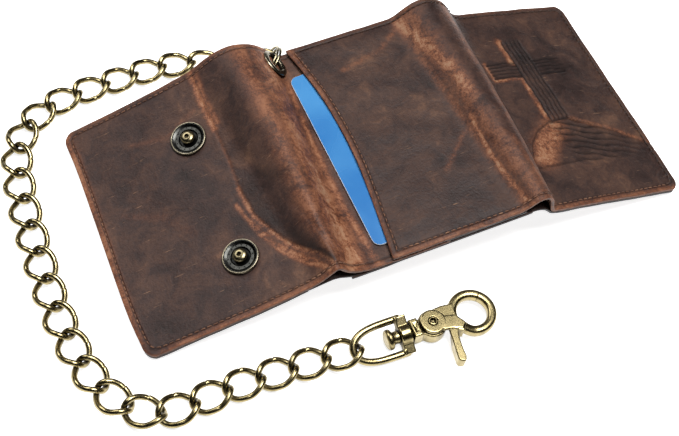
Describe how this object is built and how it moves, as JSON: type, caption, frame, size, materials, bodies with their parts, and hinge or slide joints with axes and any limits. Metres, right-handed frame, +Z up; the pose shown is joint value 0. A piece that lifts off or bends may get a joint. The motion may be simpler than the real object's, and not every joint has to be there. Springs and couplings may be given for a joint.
{
  "type": "chain wallet",
  "caption": "Tri-fold leather wallet standing open as a low arch, with snap studs, a quick pocket holding a card, and a curb chain on a split ring that ends in a swivel trigger snap",
  "frame": {"origin": "bottom centre of the box around the whole part, chain and snap included, with the wallet opened out", "axes": "+X from the left panel to the right panel, +Y from the near edge to the far edge where the chain is fixed, +Z up from the table"},
  "size_m": [0.2634, 0.1772, 0.0331],
  "materials": {
    "outer_leather": "waxed, worn pull-up leather with orange-brown creases",
    "inner_leather": "smooth matt leather",
    "antique_brass": "antique brass, satin, dark in the recesses",
    "gunmetal": "blackened brass, satin",
    "spring_steel": "spring wire",
    "card": "plain blue card",
    "window": "clear film"
  },
  "bodies": {
    "middle": {"backing_middle": "inner_leather", "cover_middle_tail": "outer_leather", "cover_middle_overlay": "outer_leather", "slot_middle_first": "inner_leather", "slot_middle_second": "inner_leather", "cover_fold_left": "outer_leather", "cover_fold_right": "outer_leather", "inner_fold_left": "inner_leather", "inner_fold_right": "inner_leather", "eyelet": "gunmetal", "eyelet_washer": "gunmetal"},
    "left_panel": {"cover_left": "outer_leather", "backing_left": "inner_leather", "slot_left": "inner_leather", "stud_upper": "gunmetal", "stud_lower": "gunmetal", "stud_cap_upper": "gunmetal", "stud_cap_lower": "gunmetal"},
    "right_panel": {"cover_right": "outer_leather", "backing_right": "inner_leather", "window_frame": "inner_leather", "window": "window", "socket_upper": "gunmetal", "socket_lower": "gunmetal"},
    "card": {"card": "card"},
    "ring": {"split_ring": "antique_brass"},
    "link_01": {"link_01": "antique_brass"},
    "link_02": {"link_02": "antique_brass"},
    "link_03": {"link_03": "antique_brass"},
    "link_04": {"link_04": "antique_brass"},
    "link_05": {"link_05": "antique_brass"},
    "link_06": {"link_06": "antique_brass"},
    "link_07": {"link_07": "antique_brass"},
    "link_08": {"link_08": "antique_brass"},
    "link_09": {"link_09": "antique_brass"},
    "link_10": {"link_10": "antique_brass"},
    "link_11": {"link_11": "antique_brass"},
    "link_12": {"link_12": "antique_brass"},
    "link_13": {"link_13": "antique_brass"},
    "link_14": {"link_14": "antique_brass"},
    "link_15": {"link_15": "antique_brass"},
    "link_16": {"link_16": "antique_brass"},
    "link_17": {"link_17": "antique_brass"},
    "link_18": {"link_18": "antique_brass"},
    "link_19": {"link_19": "antique_brass"},
    "link_20": {"link_20": "antique_brass"},
    "link_21": {"link_21": "antique_brass"},
    "link_22": {"link_22": "antique_brass"},
    "link_23": {"link_23": "antique_brass"},
    "link_24": {"link_24": "antique_brass"},
    "link_25": {"link_25": "antique_brass"},
    "link_26": {"link_26": "antique_brass"},
    "link_27": {"link_27": "antique_brass"},
    "eye": {"swivel_eye": "antique_brass"},
    "hook": {"hook_body": "antique_brass", "spindle": "antique_brass", "rivet": "antique_brass", "trigger_spring": "spring_steel"},
    "trigger": {"trigger": "antique_brass"}
  },
  "joints": [
    {"name": "fold_left", "type": "hinge", "parent": "middle", "child": "left_panel", "pos_m": [-0.02709, 0.00647, 0.01621], "axis": [0, -1, 0], "range_deg": [0, 166], "deforming": ["cover_fold_left", "inner_fold_left"]},
    {"name": "fold_right", "type": "hinge", "parent": "middle", "child": "right_panel", "pos_m": [0.06191, 0.00647, 0.01466], "axis": [0, 1, 0], "range_deg": [0, 155], "deforming": ["cover_fold_right", "inner_fold_right"]},
    {"name": "card_slide", "type": "slide", "parent": "middle", "child": "card", "axis": [-0.9962, 0, -0.0872], "range_m": [0, 0.022], "deforming": ["cover_fold_left", "inner_fold_left"]},
    {"name": "ring_swing", "type": "hinge", "parent": "middle", "child": "ring", "pos_m": [-0.01389, 0.05287, 0.02331], "axis": [0.6911, -0.5368, -0.4839], "range_deg": [-4, 4]},
    {"name": "chain_01", "type": "hinge", "parent": "ring", "child": "link_01", "pos_m": [-0.00999, 0.06307, 0.01511], "axis": [-0.428, 0.3295, 0.8416], "range_deg": [-6, 0.8]},
    {"name": "chain_02", "type": "hinge", "parent": "link_01", "child": "link_02", "pos_m": [-0.01834, 0.0695, 0.00834], "axis": [0.3305, -0.2364, -0.9137], "range_deg": [-6, 6]},
    {"name": "chain_03", "type": "hinge", "parent": "link_02", "child": "link_03", "pos_m": [-0.02863, 0.07579, 0.00504], "axis": [-0.1524, 0.0838, 0.9848], "range_deg": [-6, 6]},
    {"name": "chain_04", "type": "hinge", "parent": "link_03", "child": "link_04", "pos_m": [-0.04031, 0.08013, 0.004], "axis": [0.0462, -0.0156, -0.9988], "range_deg": [-6, 6]},
    {"name": "chain_05", "type": "hinge", "parent": "link_04", "child": "link_05", "pos_m": [-0.05268, 0.0821, 0.00382], "axis": [-0.0079, 0.0011, 1], "range_deg": [-6, 6]},
    {"name": "chain_06", "type": "hinge", "parent": "link_05", "child": "link_06", "pos_m": [-0.0652, 0.08163, 0.0038], "axis": [0.0003, 0, -1], "range_deg": [-6, 6]},
    {"name": "chain_07", "type": "hinge", "parent": "link_06", "child": "link_07", "pos_m": [-0.07769, 0.08046, 0.00381], "axis": [0.0005, 0, 1], "range_deg": [-6, 6]},
    {"name": "chain_08", "type": "hinge", "parent": "link_07", "child": "link_08", "pos_m": [-0.09017, 0.0792, 0.00381], "axis": [0, 0, -1], "range_deg": [-6, 6]},
    {"name": "chain_09", "type": "hinge", "parent": "link_08", "child": "link_09", "pos_m": [-0.1024, 0.07645, 0.00381], "axis": [0, 0, 1], "range_deg": [-6, 6]},
    {"name": "chain_10", "type": "hinge", "parent": "link_09", "child": "link_10", "pos_m": [-0.11306, 0.0701, 0.00381], "axis": [0, 0, -1], "range_deg": [-6, 6]},
    {"name": "chain_11", "type": "hinge", "parent": "link_10", "child": "link_11", "pos_m": [-0.1202, 0.05988, 0.00381], "axis": [0, 0, 1], "range_deg": [-6, 6]},
    {"name": "chain_12", "type": "hinge", "parent": "link_11", "child": "link_12", "pos_m": [-0.12301, 0.0477, 0.00381], "axis": [0, 0, -1], "range_deg": [-6, 6]},
    {"name": "chain_13", "type": "hinge", "parent": "link_12", "child": "link_13", "pos_m": [-0.12423, 0.03522, 0.00381], "axis": [0, 0, 1], "range_deg": [-6, 6]},
    {"name": "chain_14", "type": "hinge", "parent": "link_13", "child": "link_14", "pos_m": [-0.12477, 0.02269, 0.00381], "axis": [0, 0, -1], "range_deg": [-6, 6]},
    {"name": "chain_15", "type": "hinge", "parent": "link_14", "child": "link_15", "pos_m": [-0.12488, 0.01014, 0.00381], "axis": [0, 0, 1], "range_deg": [-6, 6]},
    {"name": "chain_16", "type": "hinge", "parent": "link_15", "child": "link_16", "pos_m": [-0.1249, -0.0024, 0.00381], "axis": [0, 0, -1], "range_deg": [-6, 6]},
    {"name": "chain_17", "type": "hinge", "parent": "link_16", "child": "link_17", "pos_m": [-0.1247, -0.01494, 0.00381], "axis": [0, 0, 1], "range_deg": [-6, 6]},
    {"name": "chain_18", "type": "hinge", "parent": "link_17", "child": "link_18", "pos_m": [-0.12363, -0.02744, 0.00381], "axis": [0, 0, -1], "range_deg": [-6, 6]},
    {"name": "chain_19", "type": "hinge", "parent": "link_18", "child": "link_19", "pos_m": [-0.12163, -0.03982, 0.00381], "axis": [0, 0, 1], "range_deg": [-6, 6]},
    {"name": "chain_20", "type": "hinge", "parent": "link_19", "child": "link_20", "pos_m": [-0.11795, -0.0518, 0.00381], "axis": [0, 0, -1], "range_deg": [-6, 6]},
    {"name": "chain_21", "type": "hinge", "parent": "link_20", "child": "link_21", "pos_m": [-0.11137, -0.06235, 0.00381], "axis": [0, 0, 1], "range_deg": [-6, 6]},
    {"name": "chain_22", "type": "hinge", "parent": "link_21", "child": "link_22", "pos_m": [-0.10074, -0.0688, 0.00381], "axis": [0, 0, -1], "range_deg": [-6, 6]},
    {"name": "chain_23", "type": "hinge", "parent": "link_22", "child": "link_23", "pos_m": [-0.08833, -0.06873, 0.00381], "axis": [0.0006, 0.0001, 1], "range_deg": [-6, 6]},
    {"name": "chain_24", "type": "hinge", "parent": "link_23", "child": "link_24", "pos_m": [-0.07586, -0.06763, 0.00379], "axis": [-0.004, 0, -1], "range_deg": [-6, 6]},
    {"name": "chain_25", "type": "hinge", "parent": "link_24", "child": "link_25", "pos_m": [-0.06332, -0.06765, 0.00371], "axis": [-0.0034, 0.0002, 1], "range_deg": [-6, 6]},
    {"name": "chain_26", "type": "hinge", "parent": "link_25", "child": "link_26", "pos_m": [-0.05078, -0.06802, 0.00388], "axis": [0.0311, -0.0017, -0.9995], "range_deg": [-6, 6]},
    {"name": "chain_27", "type": "hinge", "parent": "link_26", "child": "link_27", "pos_m": [-0.03828, -0.06881, 0.00449], "axis": [-0.0529, 0.0036, 0.9986], "range_deg": [-6, 6]},
    {"name": "eye_swing", "type": "hinge", "parent": "link_27", "child": "eye", "pos_m": [-0.02579, -0.06973, 0.00521], "axis": [0, 0, -1], "range_deg": [-6, 6]},
    {"name": "swivel", "type": "hinge", "parent": "eye", "child": "hook", "pos_m": [-0.00749, -0.07003, 0.00501], "axis": [1, 0, 0], "continuous": true},
    {"name": "trigger_press", "type": "hinge", "parent": "hook", "child": "trigger", "pos_m": [0.00381, -0.07003, 0.00501], "axis": [0, 0, -1], "range_deg": [0, 24], "stiffness_Nm_per_rad": 0.05, "deforming": ["trigger_spring"]}
  ]
}
